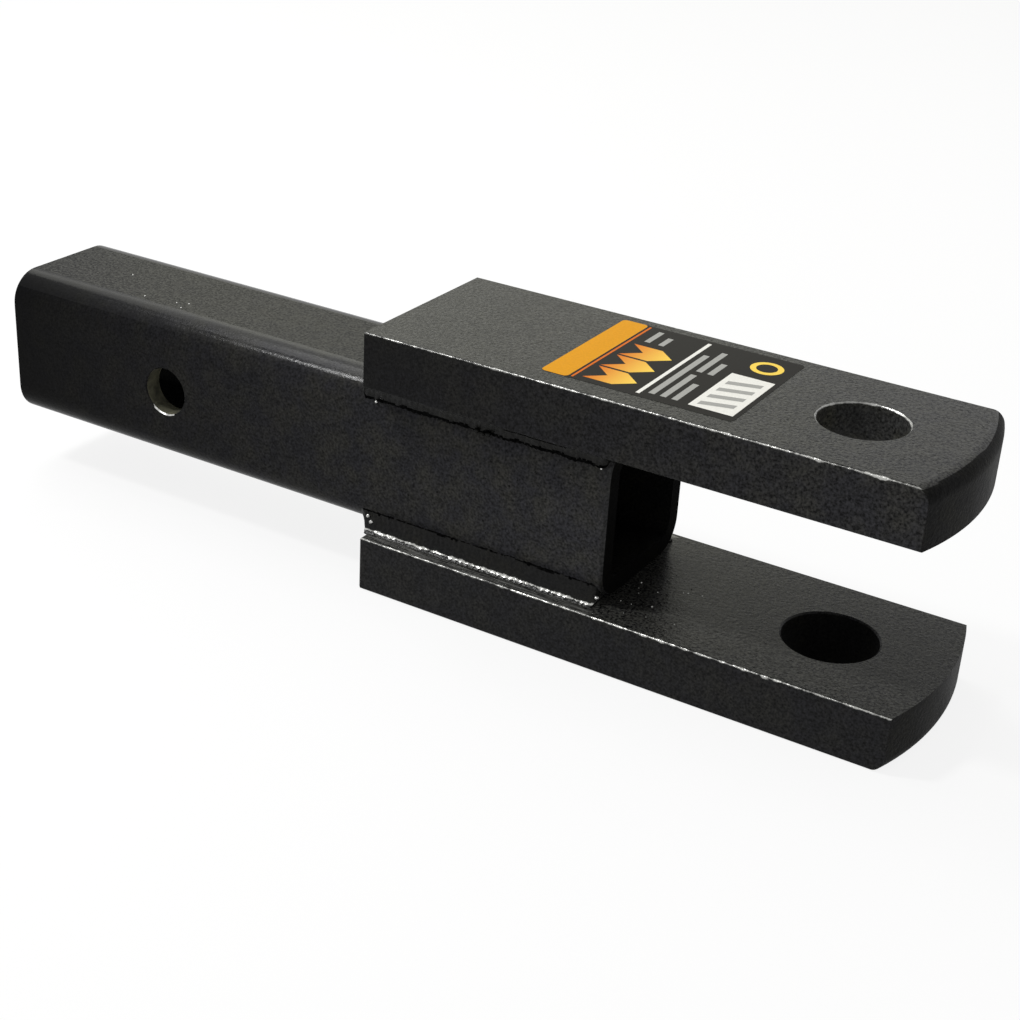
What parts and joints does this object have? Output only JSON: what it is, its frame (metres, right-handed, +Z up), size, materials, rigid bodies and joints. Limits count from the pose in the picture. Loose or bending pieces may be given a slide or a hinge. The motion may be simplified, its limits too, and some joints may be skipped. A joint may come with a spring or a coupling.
{
  "type": "clevis ball mount",
  "caption": "Welded clevis ball mount: a square hitch tube with a cross pin hole, between flat plates that form a clevis with ball holes near their bowed tips.",
  "frame": {"origin": "middle of the hitch pin hole, on the tube's axis", "axes": "+X along the tube towards the ball holes, +Y along the hitch pin hole, +Z up, square to the clevis plates"},
  "size_m": [0.3313, 0.0636, 0.0869],
  "materials": {
    "black_paint": "satin black powder paint",
    "painted_weld": "black paint over weld metal",
    "sticker": "printed vinyl sticker"
  },
  "bodies": {
    "root": {"shank_tube": "black_paint", "upper_clevis_plate": "black_paint", "lower_clevis_plate": "black_paint", "weld_upper_front": "painted_weld", "weld_upper_rear": "painted_weld", "weld_lower_front": "painted_weld", "weld_lower_rear": "painted_weld", "product_sticker": "sticker"}
  },
  "joints": []
}
